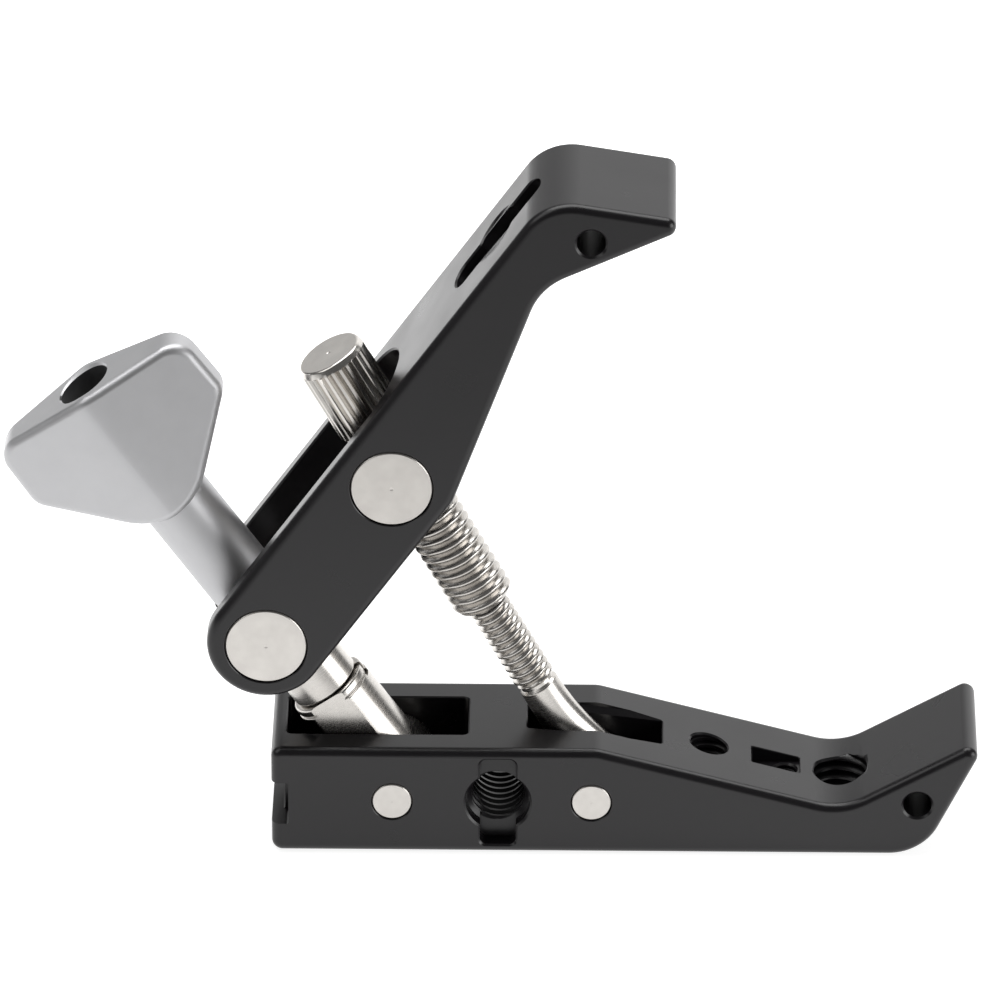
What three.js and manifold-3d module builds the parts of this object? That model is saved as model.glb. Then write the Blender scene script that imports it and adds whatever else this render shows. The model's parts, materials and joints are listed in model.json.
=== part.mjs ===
// A small super clamp: a base jaw and a swinging arm jaw joined by two links, both adjustable in length.
// The front link is a double screw turned by a knurled knob, and the rear link a screw turned by a T-handle.
// Millimetres, +Z up, +X towards the jaws, Y = 0 in the middle plane.
// The origin is on the underside of the base, below the tripod socket in its sides.
import * as THREE from "three";
import { mergeVertices } from "three/addons/utils/BufferGeometryUtils.js";
import Module from "manifold-3d";

const wasm = await Module();
wasm.setup();

// Driving dimensions: the two bars
const WIDTH = 21;
const DEPTH = 17.4;
const PIN_LINE = DEPTH / 2; // every pivot and cross hole lies on a bar's middle line
const BASE_LEFT = -33.4;
const BASE_KNEE = 14.65;
const REAR_PIVOT = { x: -15.6, z: PIN_LINE }; // base end of the rear link
const FRONT_PIVOT = { x: 13.8, z: PIN_LINE }; // base end of the front link

// The jaw, measured from its knee along the bar: both bars end in the same jaw
const SLOPE = 15.1; // degrees, from the knee down to the valley
const SLOPE_LENGTH = 36;
const RISE = 30; // degrees, from the valley up to the tip
const RISE_LENGTH = 21.85;
const FOOT = 12.1; // where the leaning end face meets the back, past the valley
const KNEE_RADIUS = 5;
const VALLEY_RADIUS = 9.5;
const TIP_RADIUS = 1.5;
const FOOT_RADIUS = 8;
const CORNER_RADIUS = 1.2;

// Linkage at its widest opening
const REAR_ARM_PIVOT = { x: -33.9, z: 34.85 };
const FRONT_ARM_PIVOT = { x: -15.4, z: 61.25 };

// Arm
const CHANNEL = 14.6; // width of the slot that the two links pass through
const CHANNEL_END = 38.8; // centre of the slot's round end, from the rear pivot
const ARM_KNEE = 35.3;

// Holes and slots shared by the bars
const CROSS_HOLE_R = 2.1;
const SOCKET_R = 3.95; // 3/8"-16 tapped hole, modelled at its core
const SMALL_SOCKET_R = 2.65; // 1/4"-20 tapped hole, modelled at its core
const SLOT_WIDTH = 5.3; // slot beside a socket that stops an accessory from turning
const SLOT_DEPTH = 2.5;

// Pins and running clearance
const GAP = 0.15;
const BASE_PIN_R = 3;
const ARM_PIN_R = 6;
const SPIGOT_R = 2.5;
const TRUNNION_R = 6.5;
const TRUNNION_FLAT = 5.2;
const TRUNNION_HALF = 6.6;
const RECESS_R = 4.7; // in a trunnion's ends, with room for the drift of a spigot

const ROUND = 32; // sides of a round piece

// ---- shapes -------------------------------------------------------------------------------------

// A closed outline whose corners [x, y, radius] are rounded with arcs.
function outline(corners) {
  const points = [];
  corners.forEach(([x, y, radius], i) => {
    const [px, py] = corners[(i + corners.length - 1) % corners.length];
    const [nx, ny] = corners[(i + 1) % corners.length];
    const here = new THREE.Vector2(x, y);
    const back = new THREE.Vector2(px, py).sub(here).normalize();
    const on = new THREE.Vector2(nx, ny).sub(here).normalize();
    if (!radius) {
      points.push(here);
      return;
    }
    const half = back.angleTo(on) / 2;
    const reach = radius / Math.tan(half);
    const middle = back.clone().add(on).normalize();
    const centre = middle.multiplyScalar(radius / Math.sin(half)).add(here);
    const start = back.multiplyScalar(reach).add(here).sub(centre);
    const turn = on.multiplyScalar(reach).add(here).sub(centre);
    let sweep = turn.angle() - start.angle();
    if (sweep > Math.PI) sweep -= 2 * Math.PI;
    if (sweep < -Math.PI) sweep += 2 * Math.PI;
    const steps = Math.max(2, Math.ceil(Math.abs(sweep) * 5));
    for (let k = 0; k <= steps; k++) {
      points.push(start.clone().rotateAround(new THREE.Vector2(), (sweep * k) / steps).add(centre));
    }
  });
  return points;
}

function solid(geometry) {
  const bare = geometry.clone();
  bare.deleteAttribute("normal");
  bare.deleteAttribute("uv");
  const merged = mergeVertices(bare, 1e-4);
  const mesh = new wasm.Mesh({
    numProp: 3,
    vertProperties: merged.attributes.position.array,
    triVerts: new Uint32Array(merged.index.array),
  });
  return new wasm.Manifold(mesh);
}

// An outline in the XZ plane, swept from y0 to y1.
function plate(points, y0, y1) {
  const shape = new THREE.Shape(points);
  const geometry = new THREE.ExtrudeGeometry(shape, { depth: y1 - y0, bevelEnabled: false });
  geometry.rotateX(Math.PI / 2);
  geometry.translate(0, y1, 0);
  return solid(geometry);
}

// An outline in the XY plane, swept from z0 up to z1.
function column(points, z0, z1) {
  const shape = new THREE.Shape(points);
  const geometry = new THREE.ExtrudeGeometry(shape, { depth: z1 - z0, bevelEnabled: false });
  geometry.translate(0, 0, z0);
  return solid(geometry);
}

function box(x0, x1, y0, y1, z0, z1) {
  const geometry = new THREE.BoxGeometry(x1 - x0, y1 - y0, z1 - z0);
  geometry.translate((x0 + x1) / 2, (y0 + y1) / 2, (z0 + z1) / 2);
  return solid(geometry);
}

// A round bar along Z from z0 to z1.
function bar(radius, z0, z1, x = 0, y = 0) {
  const geometry = new THREE.CylinderGeometry(radius, radius, z1 - z0, ROUND);
  geometry.rotateX(Math.PI / 2);
  geometry.translate(x, y, (z0 + z1) / 2);
  return solid(geometry);
}

// A round bar along Y from y0 to y1.
function crossBar(radius, x, z, y0, y1) {
  const geometry = new THREE.CylinderGeometry(radius, radius, y1 - y0, ROUND);
  geometry.translate(x, (y0 + y1) / 2, z);
  return solid(geometry);
}

// A turned piece about Z from [radius, z] points, both ends on the axis.
function turned(profile) {
  const points = profile.map(([r, z]) => new THREE.Vector2(r, z));
  const geometry = new THREE.LatheGeometry(points, ROUND);
  geometry.rotateX(Math.PI / 2);
  return solid(geometry);
}

function ring(outer, inner, z0, z1) {
  return bar(outer, z0, z1).subtract(bar(inner, z0 - 1, z1 + 1));
}

const mirrorY = [1, -1];

// ---- finishes -----------------------------------------------------------------------------------

const anodised = { color: 0x2b2a2c, roughness: 0.45, metalness: 0.6 };
const blasted = { color: 0x9fa2a5, roughness: 0.5, metalness: 0.9 };
const stainless = { color: 0xc9c5bf, roughness: 0.25, metalness: 1 };
const nylon = { color: 0x1a1a1a, roughness: 0.6, metalness: 0 };

function piece(name, body, finish) {
  const out = body.getMesh();
  const geometry = new THREE.BufferGeometry();
  geometry.setAttribute("position", new THREE.BufferAttribute(out.vertProperties, 3));
  geometry.setIndex(new THREE.BufferAttribute(out.triVerts, 1));
  geometry.computeVertexNormals();
  const mesh = new THREE.Mesh(geometry, new THREE.MeshStandardMaterial(finish));
  mesh.name = name;
  return mesh;
}

// ---- the two bars -------------------------------------------------------------------------------

// The three corners of a jaw whose knee is at x, on a bar with its back at z = 0.
function jawCorners(knee) {
  const drop = Math.tan(THREE.MathUtils.degToRad(SLOPE)) * SLOPE_LENGTH;
  const valley = knee + SLOPE_LENGTH;
  const lift = Math.tan(THREE.MathUtils.degToRad(RISE)) * RISE_LENGTH;
  return [
    [valley + FOOT, 0, FOOT_RADIUS],
    [valley + RISE_LENGTH, DEPTH - drop + lift, TIP_RADIUS],
    [valley, DEPTH - drop, VALLEY_RADIUS],
    [knee, DEPTH, KNEE_RADIUS],
  ];
}

// The long slot with a round socket in its middle, cut into the back of a jaw.
function jawSocket(start, end, middle) {
  const slot = outline([
    [start, -SLOT_WIDTH / 2, 2.4],
    [end, -SLOT_WIDTH / 2, 2.4],
    [end, SLOT_WIDTH / 2, 2.4],
    [start, SLOT_WIDTH / 2, 2.4],
  ]);
  const groove = column(slot, -1, SLOT_DEPTH);
  const countersink = bar(SOCKET_R + 0.75, -1, SLOT_DEPTH, middle);
  return groove.add(countersink).add(bar(SOCKET_R, -1, DEPTH, middle));
}

// The socket in the base's sides, with an upright slot across it.
function sideSocket() {
  const slot = outline([
    [-SLOT_WIDTH / 2, 1.45, 1],
    [SLOT_WIDTH / 2, 1.45, 1],
    [SLOT_WIDTH / 2, 15.85, 1],
    [-SLOT_WIDTH / 2, 15.85, 1],
  ]);
  let cut = crossBar(SOCKET_R, 0, PIN_LINE, -WIDTH, WIDTH);
  for (const side of mirrorY) {
    const [y0, y1] = [WIDTH / 2 - SLOT_DEPTH, WIDTH].map((y) => y * side).sort((a, b) => a - b);
    cut = cut.add(plate(slot, y0, y1));
  }
  return cut;
}

function baseBody() {
  const corners = [
    [BASE_LEFT, 0, CORNER_RADIUS],
    ...jawCorners(BASE_KNEE),
    [BASE_LEFT, DEPTH, CORNER_RADIUS],
  ];
  const valley = BASE_KNEE + SLOPE_LENGTH;
  const frontPocket = [
    [4.3, 20, 0],
    [4.3, 9, 0],
    [8.5, 3, 2],
    [19.1, 3, 2],
    [24.15, 10.5, 0],
    [24.15, 20, 0],
  ];
  return plate(outline(corners), -WIDTH / 2, WIDTH / 2)
    .subtract(box(-31.2, -4.45, -5.5, 5.5, 1.9, 20))
    .subtract(plate(outline(frontPocket), -3.4, 3.4))
    .subtract(sideSocket())
    .subtract(jawSocket(valley - 10.7, valley + 11.7, valley))
    .subtract(box(BASE_LEFT - 1, BASE_LEFT + 1.9, -WIDTH, WIDTH, 5.9, 11.7))
    .subtract(bar(SMALL_SOCKET_R, -1, 20, 31.1))
    .subtract(box(37.4, 44.6, -2.3, 2.3, 8.65, 20))
    .subtract(bar(1.65, -1, 20, 42.4))
    .subtract(crossBar(BASE_PIN_R + GAP, REAR_PIVOT.x, REAR_PIVOT.z, -WIDTH, WIDTH))
    .subtract(crossBar(BASE_PIN_R + GAP, FRONT_PIVOT.x, FRONT_PIVOT.z, -WIDTH, WIDTH))
    .subtract(crossBar(CROSS_HOLE_R, valley + 11.2, PIN_LINE, -WIDTH, WIDTH));
}

// The arm lies along +X here with its back down, its rear pivot at the origin's height PIN_LINE.
function armBody() {
  const end = [];
  const half = DEPTH / 2;
  for (let k = 0; k <= 16; k++) {
    const turn = Math.PI / 2 + (Math.PI * k) / 16;
    end.push([half * Math.cos(turn), half + half * Math.sin(turn), 0]);
  }
  const valley = ARM_KNEE + SLOPE_LENGTH;
  const channel = outline([
    [-20, -CHANNEL / 2, 0],
    [CHANNEL_END + CHANNEL / 2, -CHANNEL / 2, CHANNEL / 2 - 0.1],
    [CHANNEL_END + CHANNEL / 2, CHANNEL / 2, CHANNEL / 2 - 0.1],
    [-20, CHANNEL / 2, 0],
  ]);
  return plate(outline([...end, ...jawCorners(ARM_KNEE)]), -WIDTH / 2, WIDTH / 2)
    .subtract(column(channel, -1, DEPTH + 1))
    .subtract(jawSocket(valley - 10.7, valley + 9.95, valley - 0.6))
    .subtract(crossBar(ARM_PIN_R + GAP, 0, half, -WIDTH, WIDTH))
    .subtract(crossBar(ARM_PIN_R + GAP, armSpan, half, -WIDTH, WIDTH))
    .subtract(crossBar(CROSS_HOLE_R, valley + 10.4, 9.2, -WIDTH, WIDTH));
}

// ---- pivots -------------------------------------------------------------------------------------

// A flush pin of the arm: a wide head in the side wall and a spigot that reaches into the trunnion.
function armPin(x, side) {
  const face = WIDTH / 2 - 0.05;
  const wall = CHANNEL / 2 + 0.1;
  const span = (a, b) => [a * side, b * side].sort((p, q) => p - q);
  return crossBar(ARM_PIN_R, x, PIN_LINE, ...span(wall, face))
    .add(crossBar(SPIGOT_R, x, PIN_LINE, ...span(5.2, wall + 0.5)));
}

function pivotWasher(inner, side) {
  const [y0, y1] = [6.7, 7.15].map((y) => y * side).sort((a, b) => a - b);
  return crossBar(TRUNNION_R - 0.3, 0, 0, y0, y1)
    .subtract(crossBar(inner, 0, 0, y0 - 1, y1 + 1));
}

// A cross barrel with flats above and below, a hole for its link and a recess in each end for a pin.
function trunnion(boreR) {
  const flats = box(-10, 10, -10, 10, -TRUNNION_FLAT, TRUNNION_FLAT);
  let body = crossBar(TRUNNION_R, 0, 0, -TRUNNION_HALF, TRUNNION_HALF).intersect(flats);
  for (const side of mirrorY) {
    const [y0, y1] = [5, 8].map((y) => y * side).sort((a, b) => a - b);
    body = body.subtract(crossBar(RECESS_R, 0, 0, y0, y1));
  }
  return body.subtract(bar(boreR, -10, 10));
}

// ---- rear link: z runs from the base pivot (0) to the arm pivot (REAR_LENGTH) and on to the handle --

const REAR_LENGTH = Math.hypot(REAR_ARM_PIVOT.x - REAR_PIVOT.x, REAR_ARM_PIVOT.z - REAR_PIVOT.z);
const EYE_R = 6.1;
const EYE_HALF = 5.25;
const STEM_RELIEF = -3.4; // flat on the side of the stem that leans towards the end of its pocket
const COLLAR_TOP = REAR_LENGTH - 14.8;
const COLLAR_HEIGHT = 1.3;
const STUD_R = 3;
const STUD_TOP = 42;
const STUD_FOOT = 7.5;
const SLEEVE_R = 5.25;
const SLEEVE_BOTTOM = COLLAR_TOP + 0.2;
const SPINDLE_R = 4;
const SPINDLE_TOP = 66.2;
const NECK_R = 5.35;
const HANDLE_TOP = REAR_LENGTH + 46.5;
const WASHER = 0.6;

function rearEye() {
  const foot = COLLAR_TOP - COLLAR_HEIGHT;
  const stem = bar(EYE_R, 0, foot).add(bar(EYE_R - 0.1, foot - 0.05, COLLAR_TOP));
  return crossBar(EYE_R, 0, 0, -EYE_HALF, EYE_HALF)
    .add(stem.intersect(box(-10, 10, -EYE_HALF, EYE_HALF, -10, 40)))
    .subtract(box(-10, STEM_RELIEF, -10, 10, 5.3, foot))
    .subtract(crossBar(BASE_PIN_R + GAP, 0, 0, -10, 10))
    .subtract(bar(STUD_R + GAP, STUD_FOOT - 0.2, 40))
    .subtract(box(4.2, 10, -0.9, 0.9, COLLAR_TOP - 2, COLLAR_TOP + 1));
}

function rearStud() {
  return bar(STUD_R, STUD_FOOT, STUD_TOP);
}

// A grub screw in the notch of the collar that locks the stud.
function studLockScrew() {
  return box(4.4, 5.9, -0.7, 0.7, COLLAR_TOP - 1.8, COLLAR_TOP - 0.2);
}

function handleSleeve() {
  const shoulder = REAR_LENGTH - TRUNNION_FLAT - WASHER - 0.4;
  return bar(SLEEVE_R, SLEEVE_BOTTOM, shoulder)
    .add(bar(SPINDLE_R, shoulder - 1, SPINDLE_TOP))
    .subtract(bar(STUD_R + GAP, SLEEVE_BOTTOM - 1, 52))
    .subtract(bar(2.55, 51, SPINDLE_TOP + 1));
}

function thrustWasher(z) {
  return ring(SLEEVE_R, SPINDLE_R + GAP, z, z + WASHER);
}

// The wing of the T-handle, in the plane of the clamp, on a round neck.
function tHandle() {
  const wing = 16.75;
  const wingTop = HANDLE_TOP - 1.2;
  const wingFoot = HANDLE_TOP - 12;
  const neckTop = HANDLE_TOP - 22.5;
  const side = outline([
    [-NECK_R, neckTop, 3],
    [NECK_R, neckTop, 3],
    [wing, wingFoot, 3],
    [wing, wingTop, 4],
    [0, HANDLE_TOP, 6],
    [-wing, wingTop, 4],
    [-wing, wingFoot, 3],
  ]);
  const plan = outline([
    [-wing - 1, -2.4, 0.8],
    [0, -6.4, 6],
    [wing + 1, -2.4, 0.8],
    [wing + 1, 2.4, 0.8],
    [0, 6.4, 6],
    [-wing - 1, 2.4, 0.8],
  ]);
  const neckFoot = REAR_LENGTH + TRUNNION_FLAT + WASHER + 0.4;
  return plate(side, -8, 8)
    .intersect(column(plan, neckTop - 2, HANDLE_TOP + 2))
    .add(bar(NECK_R, neckFoot, neckTop + 6))
    .subtract(bar(SPINDLE_R + GAP, 0, SPINDLE_TOP + 0.2))
    .subtract(bar(2.7, 60, HANDLE_TOP + 2))
    .subtract(bar(4.1, SPINDLE_TOP + 2.2, HANDLE_TOP + 2));
}

function handleScrew() {
  const seat = SPINDLE_TOP + 2.4;
  const hexagon = [];
  for (let k = 0; k < 6; k++) {
    hexagon.push(new THREE.Vector2(2.3, 0).rotateAround(new THREE.Vector2(), (Math.PI * k) / 3));
  }
  return bar(3.9, seat, seat + 4)
    .add(bar(2.4, SPINDLE_TOP - 9, seat + 1))
    .subtract(column(hexagon, seat + 1.6, seat + 6));
}

// ---- front link: z runs from the base pivot (0) to the arm pivot (FRONT_LENGTH) and on to the knob --

const FRONT_LENGTH = Math.hypot(
  FRONT_ARM_PIVOT.x - FRONT_PIVOT.x,
  FRONT_ARM_PIVOT.z - FRONT_PIVOT.z,
);
const ROD_R = 3.1; // 1/4"-20 thread
const ROD_TOP = 47.5;
const TUBE_R = 4.72; // 3/8"-16 thread
const TUBE_BOTTOM = FRONT_LENGTH - 27.6;
const KNOB_R = 5.2;
const KNOB_BOTTOM = FRONT_LENGTH + 6.2;
const KNOB_TOP = FRONT_LENGTH + 19.2;

function frontEyeRod() {
  return crossBar(5, 0, 0, -3.05, 3.05)
    .add(bar(3, 0, FRONT_LENGTH - 43))
    .add(bar(ROD_R, FRONT_LENGTH - 43.6, ROD_TOP))
    .subtract(crossBar(BASE_PIN_R + GAP, 0, 0, -10, 10));
}

function screwTube() {
  return bar(TUBE_R, TUBE_BOTTOM, KNOB_BOTTOM)
    .add(bar(TUBE_R - 0.7, KNOB_BOTTOM - 1, KNOB_BOTTOM + 8))
    .subtract(bar(ROD_R + 0.2, TUBE_BOTTOM - 1, FRONT_LENGTH + 0.5))
    .subtract(bar(3.95, TUBE_BOTTOM - 1, TUBE_BOTTOM + 2));
}

function frictionRing() {
  return ring(3.8, ROD_R + 0.15, TUBE_BOTTOM + 0.2, TUBE_BOTTOM + 1.8);
}

function knurledKnob() {
  return turned([
    [0, KNOB_BOTTOM + 0.2],
    [KNOB_R - 0.5, KNOB_BOTTOM + 0.2],
    [KNOB_R, KNOB_BOTTOM + 0.7],
    [KNOB_R, KNOB_TOP - 0.8],
    [KNOB_R - 0.8, KNOB_TOP],
    [0, KNOB_TOP],
  ]).subtract(bar(TUBE_R - 0.7 + GAP, KNOB_BOTTOM - 1, KNOB_BOTTOM + 8.2));
}

// ---- assembly -----------------------------------------------------------------------------------

const armSpan = Math.hypot(
  FRONT_ARM_PIVOT.x - REAR_ARM_PIVOT.x,
  FRONT_ARM_PIVOT.z - REAR_ARM_PIVOT.z,
);

// A group at a pivot whose local +Z points at another one.
function linkGroup(from, to) {
  const group = new THREE.Group();
  group.position.set(from.x, 0, from.z);
  group.rotation.y = Math.atan2(to.x - from.x, to.z - from.z);
  return group;
}

// Pieces drawn about an arm pivot, turned with the link that they sit on.
function onPivot(link, length, name, body, finish) {
  const mesh = piece(name, body, finish);
  mesh.position.z = length;
  link.add(mesh);
}

function basePin(pivot) {
  return crossBar(BASE_PIN_R, pivot.x, pivot.z, -WIDTH / 2 + 0.05, WIDTH / 2 - 0.05);
}

const clamp = new THREE.Group();
clamp.add(piece("base_body", baseBody(), anodised));
clamp.add(piece("rear_base_pin", basePin(REAR_PIVOT), stainless));
clamp.add(piece("front_base_pin", basePin(FRONT_PIVOT), stainless));

const rearLink = linkGroup(REAR_PIVOT, REAR_ARM_PIVOT);
rearLink.add(piece("rear_eye", rearEye(), stainless));
rearLink.add(piece("rear_stud", rearStud(), stainless));
rearLink.add(piece("stud_lock_screw", studLockScrew(), stainless));
rearLink.add(piece("handle_sleeve", handleSleeve(), stainless));
rearLink.add(piece("t_handle", tHandle(), blasted));
rearLink.add(piece("handle_screw", handleScrew(), stainless));
const lowerWasher = thrustWasher(REAR_LENGTH - TRUNNION_FLAT - WASHER - 0.2);
rearLink.add(piece("lower_thrust_washer", lowerWasher, stainless));
const upperWasher = thrustWasher(REAR_LENGTH + TRUNNION_FLAT + 0.2);
rearLink.add(piece("upper_thrust_washer", upperWasher, stainless));
const rearTrunnion = trunnion(SPINDLE_R + GAP);
onPivot(rearLink, REAR_LENGTH, "rear_trunnion", rearTrunnion, stainless);

const frontLink = linkGroup(FRONT_PIVOT, FRONT_ARM_PIVOT);
frontLink.add(piece("front_eye_rod", frontEyeRod(), stainless));
frontLink.add(piece("screw_tube", screwTube(), stainless));
frontLink.add(piece("friction_ring", frictionRing(), nylon));
frontLink.add(piece("knurled_knob", knurledKnob(), stainless));
onPivot(frontLink, FRONT_LENGTH, "front_trunnion", trunnion(TUBE_R + GAP), stainless);

mirrorY.forEach((side) => {
  const end = side > 0 ? "back" : "front";
  const rearWasher = pivotWasher(SPIGOT_R + GAP, side);
  onPivot(rearLink, REAR_LENGTH, `rear_pivot_washer_${end}`, rearWasher, nylon);
  onPivot(frontLink, FRONT_LENGTH, `front_pivot_washer_${end}`, pivotWasher(RECESS_R, side), nylon);
});
clamp.add(rearLink);
clamp.add(frontLink);

// The arm's own drawing has its back down, so it is turned over about its length.
const arm = new THREE.Group();
const armDrawing = new THREE.Group();
armDrawing.add(piece("arm_body", armBody(), anodised));
mirrorY.forEach((side) => {
  const end = side > 0 ? "front" : "back";
  armDrawing.add(piece(`rear_pivot_pin_${end}`, armPin(0, side), stainless));
  armDrawing.add(piece(`front_pivot_pin_${end}`, armPin(armSpan, side), stainless));
});
armDrawing.rotation.x = Math.PI;
armDrawing.position.z = PIN_LINE;
arm.add(armDrawing);
arm.position.set(REAR_ARM_PIVOT.x, 0, REAR_ARM_PIVOT.z);
arm.rotation.y = -Math.atan2(
  FRONT_ARM_PIVOT.z - REAR_ARM_PIVOT.z,
  FRONT_ARM_PIVOT.x - REAR_ARM_PIVOT.x,
);
clamp.add(arm);

export default clamp;
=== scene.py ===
import json
import math

import bmesh
import bpy
from mathutils import Matrix, Vector

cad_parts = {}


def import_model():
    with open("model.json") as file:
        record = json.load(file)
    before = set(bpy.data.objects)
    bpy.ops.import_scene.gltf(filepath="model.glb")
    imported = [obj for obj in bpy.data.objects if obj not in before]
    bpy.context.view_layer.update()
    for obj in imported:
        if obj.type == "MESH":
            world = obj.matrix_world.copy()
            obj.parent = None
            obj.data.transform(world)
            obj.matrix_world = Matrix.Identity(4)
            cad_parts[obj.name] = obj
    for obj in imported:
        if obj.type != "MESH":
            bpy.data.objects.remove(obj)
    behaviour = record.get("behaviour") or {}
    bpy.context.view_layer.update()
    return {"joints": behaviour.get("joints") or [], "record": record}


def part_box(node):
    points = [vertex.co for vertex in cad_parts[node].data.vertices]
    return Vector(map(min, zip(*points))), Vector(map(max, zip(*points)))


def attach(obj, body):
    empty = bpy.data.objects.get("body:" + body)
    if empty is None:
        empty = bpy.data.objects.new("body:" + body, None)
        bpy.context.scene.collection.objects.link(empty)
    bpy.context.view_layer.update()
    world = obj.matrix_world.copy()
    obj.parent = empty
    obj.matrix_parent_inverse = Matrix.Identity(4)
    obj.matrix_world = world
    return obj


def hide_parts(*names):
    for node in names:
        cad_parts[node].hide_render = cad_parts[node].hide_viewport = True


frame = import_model()

MM = 0.001
FINE = 12  # outline steps per radian
ROUND = 72  # sides of a turned piece
SMOOTH = 96  # sides of the larger turned pieces

# The two bars
WIDTH = 21.0
HALF = WIDTH / 2
DEPTH = 17.4
MIDDLE = DEPTH / 2  # pins and cross holes lie on this line
EDGE = 1.3  # fillet round the sides of a bar
FLARE = 0.2  # chamfer at the mouth of a hole or pocket
BASE_LEFT = -33.4
BASE_KNEE = 14.65
ARM_KNEE = 35.3
SLOPE = math.radians(15.1)
SLOPE_LENGTH = 36.0
RISE = math.radians(30)
RISE_LENGTH = 21.85
FOOT = 12.1  # the flat underside goes on this far past the valley
FOOT_R = 8
TIP_R = 1.5
VALLEY_R = 9.5
KNEE_R = 5
CROSS_HOLE_R = 2.1

# Holes
SOCKET_R = 3.95
SMALL_SOCKET_R = 2.75
SLOT_HALF = 2.65
SLOT_DEPTH = 2.5
COARSE_PITCH = 1.5875  # 3/8"-16
FINE_PITCH = 1.27  # 1/4"-20

# Pins
BASE_PIN_R = 2.95
ARM_PIN_R = 6.0
PIN_SINK = 0.05  # how far a pin's face lies below the bar's side

# ---- places --------------------------------------------------------------------------------------

JOINTS = {joint["name"]: joint for joint in frame["joints"]}


def joint_place(name):
    return Vector(JOINTS[name]["pos_m"])


def frame_at(origin, along):
    """A frame at origin with its Z along the given way and its Y as in the world."""
    z = along.normalized()
    y = Vector((0, 1, 0))
    x = y.cross(z)
    turn = Matrix((x, y, z)).transposed().to_4x4()
    return Matrix.Translation(origin) @ turn


def shift(x, y, z):
    return Matrix.Translation(Vector((x, y, z)) * MM)


base_low, base_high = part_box("base_body")
base_middle = (base_low.y + base_high.y) / 2
BASE_ORIGIN = Vector((base_low.x - BASE_LEFT * MM, base_middle, base_low.z))
REAR_PIVOT = joint_place("rear_link_swing")
FRONT_PIVOT = joint_place("front_link_swing")
REAR_ARM_PIVOT = joint_place("arm_swing")
FRONT_ARM_PIVOT = joint_place("arm_tilt")
REAR_LENGTH = (REAR_ARM_PIVOT - REAR_PIVOT).length / MM
FRONT_LENGTH = (FRONT_ARM_PIVOT - FRONT_PIVOT).length / MM
ARM_SPAN = (FRONT_ARM_PIVOT - REAR_ARM_PIVOT).length / MM

BASE = Matrix.Translation(BASE_ORIGIN)
REAR = frame_at(REAR_PIVOT, REAR_ARM_PIVOT - REAR_PIVOT)
FRONT = frame_at(FRONT_PIVOT, FRONT_ARM_PIVOT - FRONT_PIVOT)
along_arm = FRONT_ARM_PIVOT - REAR_ARM_PIVOT
# The arm's own frame has X along the arm and Z out of its back.
ARM = frame_at(REAR_ARM_PIVOT, Vector((-along_arm.z, 0, along_arm.x)))
# The arm is drawn with its back down, as the base is.
ARM_DRAWING = ARM @ shift(0, 0, MIDDLE) @ Matrix.Rotation(math.pi, 4, "X")
TO_FRONT = Matrix.Rotation(math.pi / 2, 4, "X")  # turns a piece's +Z to -Y, out of the front side
TO_BACK = Matrix.Rotation(-math.pi / 2, 4, "X")


# ---- outlines ------------------------------------------------------------------------------------


def arc(centre, radius, start, end, inward=False):
    """Points with outward normals on an arc, angles in radians."""
    steps = max(3, math.ceil(abs(end - start) * FINE))
    made = []
    for k in range(steps + 1):
        angle = start + (end - start) * k / steps
        way = Vector((math.cos(angle), math.sin(angle)))
        made.append((centre + way * radius, -way if inward else way))
    return made


def rounded(corners):
    """A closed anticlockwise outline from (x, y, radius) corners, as points with outward normals."""
    made = []
    count = len(corners)
    for i, (x, y, radius) in enumerate(corners):
        here = Vector((x, y))
        back = (Vector(corners[i - 1][:2]) - here).normalized()
        on = (Vector(corners[(i + 1) % count][:2]) - here).normalized()
        before = Vector((-back.y, back.x))
        after = Vector((on.y, -on.x))
        if not radius:
            made.append((here, (before + after) / (1 + before.dot(after))))
            continue
        half = back.angle(on) / 2
        centre = here + (back + on).normalized() * radius / math.sin(half)
        turn = after.angle_signed(before)
        steps = max(3, math.ceil(abs(turn) * FINE))
        for k in range(steps + 1):
            normal = Matrix.Rotation(turn * k / steps, 2) @ before
            made.append((centre + normal * math.copysign(radius, turn), normal))
    return made


def circle(radius, x=0.0, y=0.0, sides=ROUND):
    made = []
    for k in range(sides):
        angle = 2 * math.pi * k / sides
        way = Vector((math.cos(angle), math.sin(angle)))
        made.append((Vector((x, y)) + way * radius, way))
    return made


def rectangle(x0, x1, half, radius):
    return rounded([(x0, -half, radius), (x1, -half, radius), (x1, half, radius), (x0, half, radius)])


def slot_with_circle(x0, x1, half, end_radius, radius, centre):
    """A long slot joined to a wider circle, with small rounds where they meet."""
    blend = 0.7
    reach = math.sqrt((radius + blend) ** 2 - (half + blend) ** 2)
    lean = math.atan2(half + blend, reach)
    quarter = math.pi / 2
    left = x0 + end_radius
    right = x1 - end_radius
    up = half - end_radius
    arcs = [
        (right, -up, end_radius, -quarter, 0, False),
        (right, up, end_radius, 0, quarter, False),
        (centre + reach, half + blend, blend, -quarter, lean - math.pi, True),
        (centre, 0, radius, lean, math.pi - lean, False),
        (centre - reach, half + blend, blend, -lean, -quarter, True),
        (left, up, end_radius, quarter, math.pi, False),
        (left, -up, end_radius, math.pi, 3 * quarter, False),
        (centre - reach, -half - blend, blend, quarter, lean, True),
        (centre, 0, radius, math.pi + lean, 2 * math.pi - lean, False),
        (centre + reach, -half - blend, blend, math.pi - lean, quarter, True),
    ]
    made = []
    for x, y, size, start, end, inward in arcs:
        made += arc(Vector((x, y)), size, start, end, inward)
    return made


# ---- solids --------------------------------------------------------------------------------------


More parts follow.
